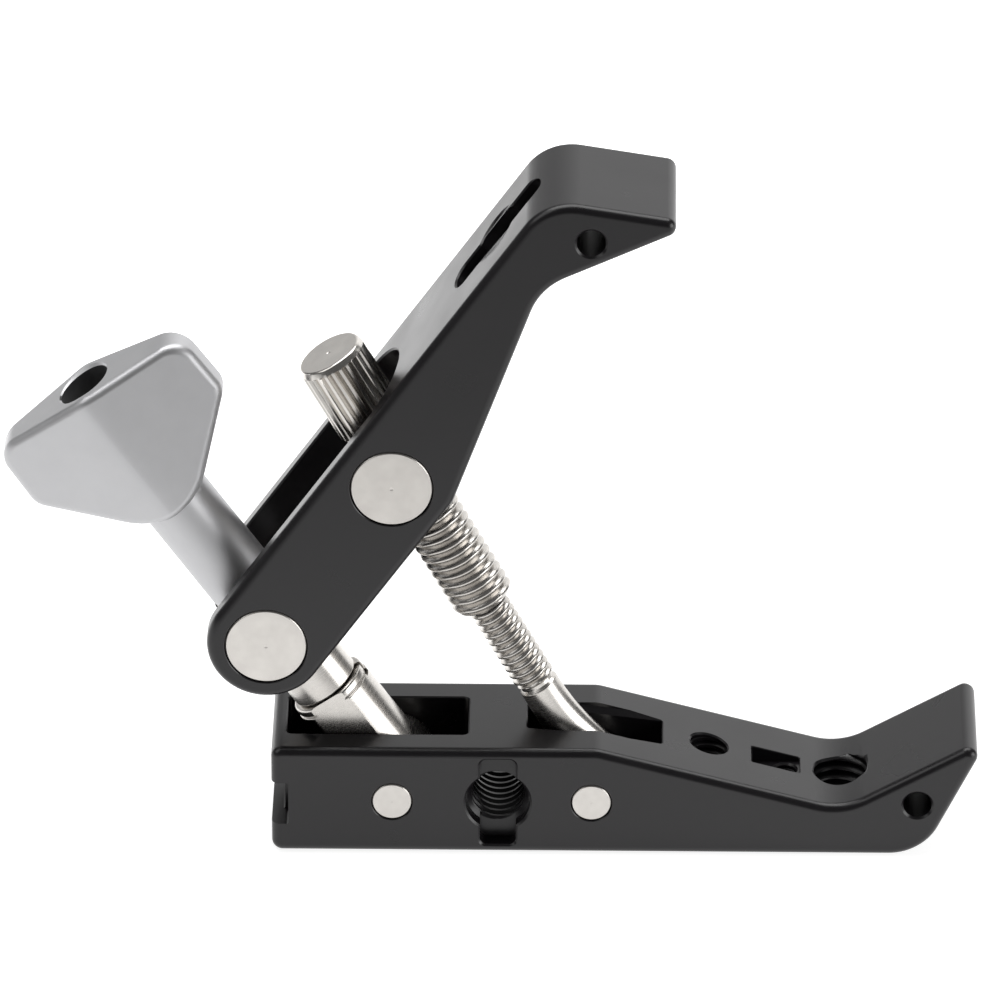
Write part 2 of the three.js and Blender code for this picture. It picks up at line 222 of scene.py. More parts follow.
def solid(name, points, faces):
    """A mesh object in millimetres, with doubled points merged and faces turned outwards."""
    mesh = bpy.data.meshes.new(name)
    mesh.from_pydata([tuple(point) for point in points], [], faces)
    made = bmesh.new()
    made.from_mesh(mesh)
    bmesh.ops.remove_doubles(made, verts=made.verts, dist=1e-5)
    bmesh.ops.recalc_face_normals(made, faces=made.faces)
    made.to_mesh(mesh)
    made.free()
    body = bpy.data.objects.new(name, mesh)
    bpy.context.scene.collection.objects.link(body)
    return body


def loft(name, rings):
    """Rings of equal length joined in order, and capped at both ends."""
    count = len(rings[0])
    faces = []
    for r in range(len(rings) - 1):
        for k in range(count):
            on = (k + 1) % count
            faces.append((r * count + k, r * count + on, (r + 1) * count + on, (r + 1) * count + k))
    last = (len(rings) - 1) * count
    faces.append(tuple(range(count)))
    faces.append(tuple(last + k for k in range(count)))
    return solid(name, [point for ring in rings for point in ring], faces)


def side_ring(points, y, grow=0.0):
    """An outline in the XZ plane at y, grown along its normals."""
    return [(p.x + n.x * grow, y, p.y + n.y * grow) for p, n in points]


def top_ring(points, height, grow=0.0):
    """An outline in the XY plane; height is a number or a function of x."""
    ring = []
    for p, n in points:
        spot = p + n * grow
        ring.append((spot.x, spot.y, height(spot.x) if callable(height) else height))
    return ring


def rounded_bar(name, points, half, fillet, steps=5):
    """An outline swept across the width, with a fillet round both of its sides."""
    near = []
    for k in range(steps + 1):
        turn = math.pi / 2 * k / steps
        near.append((half - fillet * (1 - math.cos(turn)), -fillet * (1 - math.sin(turn))))
    rings = [side_ring(points, -y, grow) for y, grow in near]
    rings += [side_ring(points, y, grow) for y, grow in reversed(near)]
    return loft(name, rings)


def across(points, y0, y1):
    return loft("cutter", [side_ring(points, y0), side_ring(points, y1)])


def upright(points, z0, z1):
    return loft("cutter", [top_ring(points, z0), top_ring(points, z1)])


def mouth(points, surface, flare=FLARE, up=1, reach=0.6):
    """A chamfer for the mouth of a pocket in a face that looks up, or down with up = -1."""
    level = surface if callable(surface) else lambda x: surface
    rings = [
        top_ring(points, lambda x: level(x) + 2 * up, flare + reach),
        top_ring(points, lambda x: level(x) + reach * up, flare + reach),
        top_ring(points, lambda x: level(x) - (flare + 0.05) * up, -0.05),
        top_ring(points, lambda x: level(x) - (flare + 0.4) * up, -0.05),
    ]
    return loft("cutter", rings)


def side_mouth(points, side, depth=0.0, flare=FLARE, reach=0.6):
    """A chamfer for the mouth of a hole in the front (side -1) or back (side 1) of a bar."""
    face = HALF - depth
    rings = [
        side_ring(points, side * (face + 2), flare + reach),
        side_ring(points, side * (face + reach), flare + reach),
        side_ring(points, side * (face - flare - 0.05), -0.05),
        side_ring(points, side * (face - flare - 0.4), -0.05),
    ]
    return loft("cutter", rings)


def side_mouths(points, flare=FLARE):
    return [side_mouth(points, side, flare=flare) for side in (-1, 1)]


def profile(points):
    """An open (r, z) path with rounded corners from (r, z, radius) points."""
    path = [Vector(points[0][:2])]
    for i in range(1, len(points) - 1):
        here = Vector(points[i][:2])
        radius = points[i][2] if len(points[i]) > 2 else 0
        if not radius:
            path.append(here)
            continue
        back = (Vector(points[i - 1][:2]) - here).normalized()
        on = (Vector(points[i + 1][:2]) - here).normalized()
        half = back.angle(on) / 2
        centre = here + (back + on).normalized() * radius / math.sin(half)
        start = here + back * radius / math.tan(half) - centre
        end = here + on * radius / math.tan(half) - centre
        turn = -start.angle_signed(end)
        steps = max(3, math.ceil(abs(turn) * 5))
        for k in range(steps + 1):
            path.append(centre + Matrix.Rotation(turn * k / steps, 2) @ start)
    path.append(Vector(points[-1][:2]))
    return path


def turned(name, points, sides=ROUND):
    """A turned piece about Z from (r, z, radius) points, both ends on the axis."""
    path = profile(points)
    spots = [(0, 0, path[0].y)]
    inner = path[1:-1]
    for spot in inner:
        for k in range(sides):
            angle = 2 * math.pi * k / sides
            spots.append((spot.x * math.cos(angle), spot.x * math.sin(angle), spot.y))
    spots.append((0, 0, path[-1].y))
    last = len(spots) - 1
    faces = []
    for k in range(sides):
        on = (k + 1) % sides
        faces.append((0, 1 + k, 1 + on))
        foot = 1 + (len(inner) - 1) * sides
        faces.append((last, foot + on, foot + k))
        for r in range(len(inner) - 1):
            low = 1 + r * sides
            faces.append((low + k, low + sides + k, low + sides + on, low + on))
    return solid(name, spots, faces)


def turned_ring(name, points, sides=ROUND):
    """A turned piece from a closed (r, z, radius) outline that stays clear of the axis."""
    path = [point for point, _ in rounded(points)]
    count = len(path)
    spots = []
    faces = []
    for k in range(sides):
        angle = 2 * math.pi * k / sides
        for spot in path:
            spots.append((spot.x * math.cos(angle), spot.x * math.sin(angle), spot.y))
        for i in range(count):
            here, on = k * count, ((k + 1) % sides) * count
            j = (i + 1) % count
            faces.append((here + i, here + j, on + j, on + i))
    return solid(name, spots, faces)


def ridge(share, full):
    """The rise of a thread across one turn, from 0 at the root to 1 at the crest."""
    rise = 1 - abs(2 * share - 1)
    return 1 - (1 - rise) ** 1.7 if full else rise ** 1.5


def thread(name, crest, root, pitch, z0, z1, hand=1, end_chamfer=0.0, sides=64, rows=12, full=True):
    """A threaded rod about Z: a skin whose rows follow the helix, closed by flat ends."""
    places = {}
    spots = []

    def spot(row, column):
        height = z0 + pitch * (row / rows - 1 + column / sides)
        height = min(max(height, z0), z1)
        key = (column, round(height, 5))
        if key not in places:
            phase = ((height - z0) / pitch - column / sides) % 1.0
            radius = root + (crest - root) * ridge(phase, full)
            if end_chamfer:
                ends = min(height - z0, z1 - height)
                radius = min(radius, crest - end_chamfer + ends)
            angle = hand * 2 * math.pi * column / sides
            places[key] = len(spots)
            spots.append((radius * math.cos(angle), radius * math.sin(angle), height))
        return places[key]

    faces = []
    for row in range(math.ceil((z1 - z0) / pitch + 1) * rows):
        for column in range(sides):
            wrap = column + 1 == sides
            on = 0 if wrap else column + 1
            turn = rows if wrap else 0
            square = [spot(row, column), spot(row + turn, on)]
            square += [spot(row + turn + 1, on), spot(row + 1, column)]
            square = list(dict.fromkeys(square))
            if len(square) > 2:
                faces.append(square)
    faces.append([places[(column, round(z0, 5))] for column in range(sides)])
    faces.append([places[(column, round(z1, 5))] for column in range(sides)])
    return solid(name, spots, faces)


def moved(body, place):
    """Moves a cutter's own points, with place's shift in metres as in the placing frames."""
    turn = place.copy()
    turn.translation = turn.translation / MM
    body.data.transform(turn)
    return body


def apply_modifiers(body):
    view = bpy.context.evaluated_depsgraph_get()
    view.update()
    finished = bpy.data.meshes.new_from_object(body.evaluated_get(view))
    body.modifiers.clear()
    body.data = finished
    return body


def combine(body, others, operation="DIFFERENCE"):
    """Subtracts the others from body, or joins them to it, and removes them."""
    for other in others:
        step = body.modifiers.new("cut", "BOOLEAN")
        step.operation = operation
        step.solver = "MANIFOLD"
        step.object = other
        apply_modifiers(body)
        bpy.data.objects.remove(other)
    return body


def clean(body):
    """Joins slivers and flat neighbours that the cuts have left."""
    made = bmesh.new()
    made.from_mesh(body.data)
    bmesh.ops.remove_doubles(made, verts=made.verts, dist=0.004)
    limit = math.radians(0.4)
    bmesh.ops.dissolve_limit(made, angle_limit=limit, verts=made.verts, edges=made.edges)
    made.to_mesh(body.data)
    made.free()
    return body


def bevel(body, width):
    step = body.modifiers.new("edge", "BEVEL")
    step.width = width
    step.segments = 2
    step.limit_method = "ANGLE"
    step.angle_limit = math.radians(40)
    step.use_clamp_overlap = False
    step.miter_outer = "MITER_ARC"
    return apply_modifiers(body)


# ---- finishes ------------------------------------------------------------------------------------


class Finish:
    """A material whose nodes are added one by one."""

    def __init__(self, name):
        self.material = bpy.data.materials.new(name)
        self.material.use_nodes = True
        self.nodes = self.material.node_tree.nodes
        self.links = self.material.node_tree.links
        self.surface = self.nodes["Principled BSDF"]
        self.place = self.nodes.new("ShaderNodeTexCoord").outputs["Object"]

    def set(self, **values):
        for key, value in values.items():
            self.surface.inputs[key.replace("_", " ")].default_value = value
        return self

    def math(self, operation, first, second):
        node = self.nodes.new("ShaderNodeMath")
        node.operation = operation
        for socket, value in zip(node.inputs, (first, second)):
            if isinstance(value, (int, float)):
                socket.default_value = value
            else:
                self.links.new(value, socket)
        return node.outputs[0]

    def rings(self):
        """Coordinates that change only with the radius and the height, as tool marks do."""
        flat = self.nodes.new("ShaderNodeVectorMath")
        flat.operation = "MULTIPLY"
        flat.inputs[1].default_value = (1, 1, 0)
        self.links.new(self.place, flat.inputs[0])
        size = self.nodes.new("ShaderNodeVectorMath")
        size.operation = "LENGTH"
        self.links.new(flat.outputs["Vector"], size.inputs[0])
        parts = self.nodes.new("ShaderNodeSeparateXYZ")
        self.links.new(self.place, parts.inputs[0])
        joined = self.nodes.new("ShaderNodeCombineXYZ")
        self.links.new(size.outputs["Value"], joined.inputs["X"])
        self.links.new(parts.outputs["Z"], joined.inputs["Z"])
        return joined.outputs[0]

    def noise(self, scale, vector=None, detail=3.0):
        node = self.nodes.new("ShaderNodeTexNoise")
        node.inputs["Scale"].default_value = scale
        node.inputs["Detail"].default_value = detail
        node.inputs["Roughness"].default_value = 0.6
        self.links.new(vector or self.place, node.inputs["Vector"])
        return node.outputs["Fac"]

    def spread(self, value, start, end, low, high, curve="LINEAR"):
        """The value from start to end, spread between low and high."""
        node = self.nodes.new("ShaderNodeMapRange")
        node.interpolation_type = curve
        node.inputs["From Min"].default_value = start
        node.inputs["From Max"].default_value = end
        node.inputs["To Min"].default_value = low
        node.inputs["To Max"].default_value = high
        self.links.new(value, node.inputs["Value"])
        return node.outputs["Result"]

    def ramp(self, value, low, high):
        """The middle of a noise, spread between low and high."""
        return self.spread(value, 0.3, 0.7, low, high)

    def colours(self, value, low, high):
        node = self.nodes.new("ShaderNodeMix")
        node.data_type = "RGBA"
        node.inputs[6].default_value = (*low, 1)
        node.inputs[7].default_value = (*high, 1)
        self.links.new(self.ramp(value, 0, 1), node.inputs[0])
        self.links.new(node.outputs[2], self.surface.inputs["Base Color"])
        return self

    def rough(self, value, low, high):
        self.links.new(self.ramp(value, low, high), self.surface.inputs["Roughness"])
        return self

    def bump(self, height, depth, strength=1.0):
        """Height goes from 0 to 1, and depth is how deep that is, in millimetres."""
        node = self.nodes.new("ShaderNodeBump")
        node.inputs["Strength"].default_value = strength
        node.inputs["Distance"].default_value = depth * MM
        self.links.new(height, node.inputs["Height"])
        self.links.new(node.outputs["Normal"], self.surface.inputs["Normal"])
        return self


def anodised_black():
    finish = Finish("anodised_black")
    grain = finish.noise(4200, detail=2.0)
    cloud = finish.noise(90, detail=2.0)
    finish.set(Metallic=0.0, IOR=1.49)
    finish.colours(cloud, (0.0044, 0.0036, 0.0046), (0.0058, 0.0048, 0.0060))
    finish.rough(cloud, 0.27, 0.33)
    return finish.bump(grain, 0.004, 0.5).material


def blasted_aluminium():
    finish = Finish("blasted_aluminium")
    grain = finish.noise(5200, detail=2.0)
    cloud = finish.noise(120, detail=3.0)
    finish.set(Metallic=1.0)
    finish.colours(cloud, (0.505, 0.505, 0.515), (0.555, 0.555, 0.565))
    finish.rough(cloud, 0.44, 0.5)
    return finish.bump(grain, 0.010, 0.6).material


def stainless(name, polish, tone):
    finish = Finish(name)
    lines = finish.noise(5200, finish.rings(), detail=2.0)
    cloud = finish.noise(300, detail=2.0)
    finish.set(Metallic=1.0)
    dull = [tone * share for share in (0.60, 0.575, 0.545)]
    bright = [tone * share for share in (0.67, 0.645, 0.61)]
    finish.colours(cloud, dull, bright)
    finish.rough(lines, polish - 0.03, polish + 0.03)
    return finish.bump(lines, 0.002, 0.3).material


# A dark, rough material that paints the shade inside a bore: painted shade, not the metal's own colour.
def painted_bore_shade():
    finish = Finish("bore_painted_shade")
    cloud = finish.noise(400)
    finish.set(Metallic=0.0, IOR=1.4)
    finish.colours(cloud, (0.04, 0.04, 0.042), (0.06, 0.06, 0.062))
    return finish.rough(cloud, 0.6, 0.7).material


def nylon_black():
    finish = Finish("nylon_black")
    cloud = finish.noise(900)
    finish.set(Metallic=0.0, IOR=1.5)
    finish.colours(cloud, (0.010, 0.010, 0.010), (0.016, 0.016, 0.016))
    return finish.rough(cloud, 0.5, 0.62).material


ANODISED = anodised_black()
BLASTED = blasted_aluminium()
KNURLED = stainless("stainless_knurled", 0.21, 1.0)
TURNED = stainless("stainless_turned", 0.30, 0.94)
POLISHED = stainless("stainless_polished", 0.27, 0.94)
# Painted shade for the inside of the handle's top hole.
BORE_SHADE = painted_bore_shade()
NYLON = nylon_black()
NODE_BODY = {
    node: body for body, nodes in frame["record"]["behaviour"]["bodies"].items() for node in nodes
}


def place(body, node, matrix, material, sharp=35):
    """Shades the piece, sets it in its place and lets it stand for its CAD node."""
    body.name = node + "_fine"
    body.data.transform(Matrix.Scale(MM, 4))
    body.data.materials.clear()
    body.data.materials.append(material)
    body.data.shade_smooth()
    body.data.set_sharp_from_angle(angle=math.radians(sharp))
    weighted = body.modifiers.new("shade", "WEIGHTED_NORMAL")
    weighted.keep_sharp = True
    apply_modifiers(body)
    body.matrix_world = matrix
    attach(body, NODE_BODY[node])
    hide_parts(node)


# ---- the two bars --------------------------------------------------------------------------------

DROP = math.tan(SLOPE) * SLOPE_LENGTH
LIFT = math.tan(RISE) * RISE_LENGTH
ABOVE = 20  # clear of the bar's upper side
PIN_ROOM = 0.1
SMALL_SOCKET_X = 31.1
CHANNEL = 14.6  # width of the arm's channel
CHANNEL_END = 38.8
REAR_X = (REAR_PIVOT - BASE_ORIGIN).x / MM
FRONT_X = (FRONT_PIVOT - BASE_ORIGIN).x / MM


def jaw_corners(knee):
    """The corners of a jaw from its foot round to its knee, each with its radius."""
    valley = knee + SLOPE_LENGTH
    return [
        (valley + FOOT, 0, FOOT_R),
        (valley + RISE_LENGTH, DEPTH - DROP + LIFT, TIP_R),
        (valley, DEPTH - DROP, VALLEY_R),
        (knee, DEPTH, KNEE_R),
    ]


def surface_of(points):
    """The height of the bar's upper side as a function of x."""
    upper = sorted((p.x, p.y) for p, n in points if n.y > 0.3)

    def height(x):
        for (x0, z0), (x1, z1) in zip(upper, upper[1:]):
            if x0 <= x <= x1 and x1 > x0:
                return z0 + (z1 - z0) * (x - x0) / (x1 - x0)
        return upper[0][1] if x < upper[0][0] else upper[-1][1]

    return height


def tapped(radius, pitch, z0, z1, depth=0.85):
    """The cutter for the thread of a tapped hole about Z."""
    rows = 12
    return thread("cutter", radius + depth, radius - 0.15, pitch, z0, z1, sides=48, rows=rows, full=False)


def below_skin(points, cutter):
    """Ends a thread a little under the bar's surface, whatever its slope."""
    core = loft("core", [side_ring(points, y, -0.45) for y in (-8, 8)])
    return combine(cutter, [core], "INTERSECT")


def jaw_socket(start, end, middle):
    """Cutters for the long slot and the tapped hole in a jaw's back, which is at z = 0."""
    groove = slot_with_circle(start, end, SLOT_HALF, end_radius=2.4, radius=4.7, centre=middle)
    hole = circle(SOCKET_R, middle)
    cutters = [upright(groove, -2, SLOT_DEPTH), upright(hole, -1, DEPTH)]
    cutters.append(mouth(groove, 0.0, 0.25, up=-1))
    cutters.append(mouth(hole, SLOT_DEPTH, 0.3, up=-1, reach=0.3))
    cutters.append(moved(tapped(SOCKET_R, COARSE_PITCH, SLOT_DEPTH + 0.3, 10), shift(middle, 0, 0)))
    return cutters


def side_socket():
    """Cutters for the tripod socket in the base's sides, with its upright slot."""
    low, high = 1.45, 15.85
    slot = rounded([(-SLOT_HALF, low, 1), (SLOT_HALF, low, 1), (SLOT_HALF, high, 1), (-SLOT_HALF, high, 1)])
    ring = circle(4.75, 0, MIDDLE)
    ring_depth = SLOT_DEPTH - 0.6
    hole = circle(SOCKET_R, 0, MIDDLE)
    floor = HALF - SLOT_DEPTH
    cutters = [across(hole, -HALF - 1, HALF + 1)]
    for side in (-1, 1):
        cutters.append(across(slot, side * floor, side * (HALF + 2)))
        cutters.append(across(ring, side * (HALF - ring_depth), side * (HALF + 2)))
        cutters.append(side_mouth(slot, side, flare=0.3))
        cutters.append(side_mouth(ring, side, flare=0.3))
        cutters.append(side_mouth(hole, side, ring_depth, flare=0.6, reach=0.1))
    helix = tapped(SOCKET_R, COARSE_PITCH, -floor, floor)
    cutters.append(moved(helix, shift(0, 0, MIDDLE) @ TO_FRONT))
    return cutters


def pin_hole(radius, x):
    hole = circle(radius, x, MIDDLE)
    return [across(hole, -HALF - 1, HALF + 1), *side_mouths(hole, 0.12)]


def cross_hole(x, z):
    hole = circle(CROSS_HOLE_R, x, z, 48)
    return [across(hole, -HALF - 1, HALF + 1), *side_mouths(hole, 0.3)]


def notch(depth):
    """The outline of the cross slot in the base's left end."""
    low, high = 4.8, 11.7
    inner = BASE_LEFT + depth
    outer = BASE_LEFT - 2
    return rounded([(outer, low, 0), (inner, low, 0.3), (inner, high, 0.3), (outer, high, 0)])


def notches():
    """The cross slot is deeper at the sides than where it runs past the rear pocket."""
    cutters = [across(notch(1.9), -HALF - 1, HALF + 1)]
    return cutters + [across(notch(2.5), side * 5.9, side * (HALF + 1)) for side in (-1, 1)]


def link_pockets(top):
    """Cutters for the pockets in which the two links stand."""
    rear = rectangle(-31.2, -4.45, half=5.5, radius=0.9)
    left, right = 4.3, 24.15
    half = 3.4
    front_sides = [
        (8.5, 3, 2),
        (19.1, 3, 2),
        (right, 10.5, 0),
        (right, ABOVE, 0),
        (left, ABOVE, 0),
        (left, 9, 0),
    ]
    front_mouth = rectangle(left, right, half, radius=0.5)
    cutters = [upright(rear, 1.9, ABOVE), mouth(rear, top)]
    return cutters + [across(rounded(front_sides), -half, half), mouth(front_mouth, top)]


def slope_sockets(points, top, valley):
    """Cutters for the tapped holes that open in the base's sloping side."""
    radius = SOCKET_R - 0.05
    socket = circle(radius, valley)
    cutters = [upright(socket, 1, 25), mouth(socket, top, 0.35)]
    coarse = moved(tapped(radius, COARSE_PITCH, 3, 14), shift(valley, 0, 0))
    cutters.append(below_skin(points, coarse))
    small = circle(SMALL_SOCKET_R, SMALL_SOCKET_X)
    cutters += [upright(small, -1, ABOVE), mouth(small, top, 0.25), mouth(small, 0.0, 0.3, up=-1)]
    fine = moved(tapped(SMALL_SOCKET_R, FINE_PITCH, 0.4, 16, depth=0.6), shift(SMALL_SOCKET_X, 0, 0))
    cutters.append(below_skin(points, fine))
    return cutters


def screw_recess(top):
    """Cutters for the small recess in the slope, with a tapped hole in its floor."""
    floor = 8.65
    recess = rectangle(37.4, 44.6, half=2.3, radius=0.35)
    radius, x = 1.65, 42.4
    hole = circle(radius, x, 0, 40)
    cutters = [upright(recess, floor, ABOVE), mouth(recess, top, 0.12)]
    cutters += [upright(hole, -1, ABOVE), mouth(hole, floor, 0.3, reach=0.1)]
    helix = tapped(radius, pitch=0.7, z0=0.4, z1=8.2, depth=0.3)
    cutters.append(moved(helix, shift(x, 0, 0)))
    return cutters


def base_body():
    points = rounded([(BASE_LEFT, 0, 1.6), *jaw_corners(BASE_KNEE), (BASE_LEFT, DEPTH, 1.6)])
    top = surface_of(points)
    valley = BASE_KNEE + SLOPE_LENGTH
    body = rounded_bar("base", points, HALF, EDGE)
    cutters = link_pockets(top)
    cutters += side_socket()
    cutters += jaw_socket(valley - 10.7, valley + 11.7, valley)
    cutters += slope_sockets(points, top, valley)
    cutters += screw_recess(top)
    cutters += notches()
    cutters += pin_hole(BASE_PIN_R + PIN_ROOM, REAR_X)
    cutters += pin_hole(BASE_PIN_R + PIN_ROOM, FRONT_X)
    cutters += cross_hole(valley + 11.2, MIDDLE)
    return combine(body, cutters)


def arm_body():
    round_end = MIDDLE - 0.01
    corners = [(-MIDDLE, 0, round_end), *jaw_corners(ARM_KNEE), (-MIDDLE, DEPTH, round_end)]
    valley = ARM_KNEE + SLOPE_LENGTH
    body = rounded_bar("arm", rounded(corners), HALF, EDGE)
    open_end = -20
    half = CHANNEL / 2
    tip = CHANNEL_END + half
    turn = half - 0.02
    channel = rounded([(open_end, -half, 0), (tip, -half, turn), (tip, half, turn), (open_end, half, 0)])
    cutters = [upright(channel, -2, DEPTH + 2)]
    cutters += [mouth(channel, 0.0, 0.25, up=-1), mouth(channel, DEPTH, 0.25)]
    cutters += jaw_socket(valley - 10.7, valley + 9.95, valley - 0.6)
    cutters += pin_hole(ARM_PIN_R + PIN_ROOM, 0)
    cutters += pin_hole(ARM_PIN_R + PIN_ROOM, ARM_SPAN)
    cutters += cross_hole(valley + 10.4, 9.2)
    return combine(body, cutters)


# ---- pins and pivots -----------------------------------------------------------------------------

SPIGOT_R = 2.5
SPIGOT_END = 5.2


def pin_face(radius, z, chamfer, dimple):
    """The (r, z) points of a turned end with a small centre dimple and a chamfer."""
    return [
        (0, z - dimple),
        (dimple * 3, z, dimple * 0.5),
        (radius - chamfer, z, chamfer * 0.4),
        (radius, z - chamfer, chamfer * 0.4),
    ]


def base_pin():
    face = HALF - PIN_SINK
    upper = pin_face(BASE_PIN_R, face, 0.18, 0.05)
    lower = [(point[0], -point[1], *point[2:]) for point in reversed(upper)]
    return turned("pin", lower + upper[::-1], 64)


def arm_pin():
    """A wide head and a spigot, drawn with Z out of the arm's side and z = 0 in the middle plane."""
    head = pin_face(ARM_PIN_R, HALF - PIN_SINK, 0.22, 0.1)
    shoulder = 7.4
    tail = [
        (ARM_PIN_R, shoulder, 0.2),
        (SPIGOT_R, shoulder),
        (SPIGOT_R, SPIGOT_END, 0.3),
        (0, SPIGOT_END),
    ]
    return turned("pin", head + tail, SMOOTH)


TRUNNION_R = 6.5
RECESS_R = 4.7
TRUNNION_FLAT = 5.2
TRUNNION_HALF = 6.6


def trunnion(bore, name):
    """A cross barrel about Z, with flats towards +-X, a cross bore along X and recessed ends."""
    low, high = -TRUNNION_HALF, TRUNNION_HALF
    barrel = turned(name, [(0, low), (TRUNNION_R, low, 0.3), (TRUNNION_R, high, 0.3), (0, high)])
    flats = rectangle(-TRUNNION_FLAT, TRUNNION_FLAT, 10, 0)
    combine(barrel, [upright(flats, -10, 10)], "INTERSECT")
    cutters = [upright(circle(RECESS_R), side * 5, side * 8) for side in (-1, 1)]
    hole = upright(circle(bore, 0, 0, 64), -10, 10)
    cutters.append(moved(hole, Matrix.Rotation(math.pi / 2, 4, "Y")))
    combine(barrel, cutters)
    return bevel(barrel, 0.15)


def flat_ring(outer, inner, height):
    soft = 0.12
    outline = [(inner, 0, soft), (outer, 0, soft), (outer, height, soft), (inner, height, soft)]
    return turned_ring("washer", outline, 64)


# ---- rear link -----------------------------------------------------------------------------------

EYE_R = 6.1
EYE_HALF = 5.25
COLLAR_TOP = REAR_LENGTH - 14.8
COLLAR_HEIGHT = 1.3
COLLAR_R = 5.95
STEM_RELIEF = -3.4  # flat on the side of the stem that leans towards its pocket's end
STUD_R = 3.0
STUD_PITCH = 1.0
STUD_BOTTOM = 7.5
STUD_TOP = 42
SLEEVE_R = 5.25
SLEEVE_BOTTOM = COLLAR_TOP + 0.2
SPINDLE_R = 4.0
SPINDLE_TOP = 66.2
NECK_R = 5.35
HANDLE_TOP = REAR_LENGTH + 46.5
NECK_FOOT = REAR_LENGTH + 6.2


def eye_hole():
    """The cutter for the base's pivot pin, in the lower eye of either link."""
    return moved(upright(circle(BASE_PIN_R + 0.15), -10, 10), TO_BACK)


def rear_eye():
    foot = COLLAR_TOP - COLLAR_HEIGHT
    eye = upright(circle(EYE_R, 0, 0, SMOOTH), -EYE_HALF, EYE_HALF)
    moved(eye, TO_BACK)
    side = [
        (0, 0),
        (EYE_R, 0),
        (EYE_R, foot - 0.25, 0.2),
        (COLLAR_R - 0.25, foot - 0.1, 0.1),
        (COLLAR_R, foot + 0.15, 0.25),
        (COLLAR_R, COLLAR_TOP, 0.4),
        (0, COLLAR_TOP),
    ]
    stem = turned("eye", side, 128)
    combine(stem, [upright(rectangle(-10, 10, EYE_HALF, 0), -10, 40)], "INTERSECT")
    combine(stem, [eye], "UNION")
    relief = upright(rectangle(-10, STEM_RELIEF, 10, 0), 5.3, foot - 0.3)
    stud_hole = upright(circle(STUD_R + 0.15), STUD_BOTTOM - 0.2, 40)
    screw_seat = upright(rectangle(4.2, 10, 0.9, 0.0), COLLAR_TOP - 2, COLLAR_TOP + 1)
    return combine(stem, [eye_hole(), relief, stud_hole, screw_seat])


def rear_stud():
    crest, root = STUD_R, STUD_R - 0.5
    return thread("stud", crest, root, STUD_PITCH, STUD_BOTTOM, STUD_TOP, end_chamfer=0.5, sides=48, rows=8)


def stud_lock_screw():
    outline = rectangle(4.4, 5.7, 0.7, 0.25)
    heights = (COLLAR_TOP - 1.8, COLLAR_TOP - 0.3)
    return bevel(loft("screw", [top_ring(outline, height) for height in heights]), 0.1)


def handle_sleeve():
    shoulder = REAR_LENGTH - TRUNNION_FLAT - 1.0
    bore = STUD_R + 0.15
    bore_end = 51
    screw_bore = 2.55
    outline = [
        (bore, SLEEVE_BOTTOM, 0.2),
        (SLEEVE_R, SLEEVE_BOTTOM, 0.35),
        (SLEEVE_R, shoulder, 0.25),
        (SPINDLE_R, shoulder, 0.1),
        (SPINDLE_R, SPINDLE_TOP, 0.4),
        (screw_bore, SPINDLE_TOP, 0.2),
        (screw_bore, bore_end, 0),
        (bore, bore_end, 0),
    ]
    return turned_ring("sleeve", outline, SMOOTH)


WING = 16.75  # half the span of the handle's wing
WING_MIDDLE = 6.2  # half its thickness in the middle
WING_END = 2.4  # and at its ends
RIDGE = 1.0  # softness of the ridge down the middle of the wing
WING_EDGE = 1.25
HANDLE_HOLE_R = 4.1


def wing_thickness(x):
    fall = (WING_MIDDLE - WING_END) / (math.hypot(WING, RIDGE) - RIDGE)
    return WING_MIDDLE - fall * (math.hypot(x, RIDGE) - RIDGE)


def wing_cuts():
    """Where the wing is cut across, closest together near its middle and its ends."""
    cuts = 36
    for k in range(1, cuts):
        x = WING * math.sin(math.pi * (k / cuts - 0.5)) * 0.97
        yield x * abs(x) / WING if abs(x) < 9 else x


def wing():
    """The handle's flat wing, thickest down its middle."""
    low = REAR_LENGTH + 34.6
    high = HANDLE_TOP - 1.2
    corners = [
        (0, REAR_LENGTH + 19.2, 10.8),
        (WING + 0.2, low, 3),
        (WING - 0.1, high, 4),
        (0, HANDLE_TOP, 6),
        (-WING + 0.1, high, 4),
        (-WING - 0.2, low, 3),
    ]
    body = rounded_bar("handle", rounded(corners), WING_MIDDLE, WING_EDGE, 6)
    shape = bmesh.new()
    shape.from_mesh(body.data)
    for x in wing_cuts():
        everything = shape.verts[:] + shape.edges[:] + shape.faces[:]
        bmesh.ops.bisect_plane(shape, geom=everything, plane_co=(x, 0, 0), plane_no=(1, 0, 0), dist=1e-4)
    for vertex in shape.verts:
        drop = WING_MIDDLE - wing_thickness(vertex.co.x)
        vertex.co.y -= math.copysign(drop, vertex.co.y)
    shape.to_mesh(body.data)
    shape.free()
    return body


def web():
    """The thin web that spreads from the neck into the wing."""
    foot = REAR_LENGTH + 19.5
    bend = REAR_LENGTH + 23.6
    head = REAR_LENGTH + 28.6
    right = [(3.2, foot, 0), (5.1, bend, 7), (10.3, head, 0)]
    left = [(-x, z, radius) for x, z, radius in reversed(right)]
    corners = [left[-1], *right, *left[:-1]]
    return rounded_bar("web", rounded(corners), 3.4, 1.5)


def t_handle():
    neck_top = REAR_LENGTH + 28
    outline = [(0, NECK_FOOT), (NECK_R, NECK_FOOT, 0.3), (NECK_R, neck_top, 2), (0, neck_top)]
    body = wing()
    combine(body, [turned("neck", outline, SMOOTH), web()], "UNION")
    hole = circle(HANDLE_HOLE_R)
    above = HANDLE_TOP + 2
    cutters = [
        upright(circle(SPINDLE_R + 0.15), 0, SPINDLE_TOP + 0.2),
        upright(circle(2.7), 60, above),
        upright(hole, SPINDLE_TOP + 2.2, above),
        mouth(hole, HANDLE_TOP - 0.3, 0.2),
    ]
    return clean(combine(body, cutters))


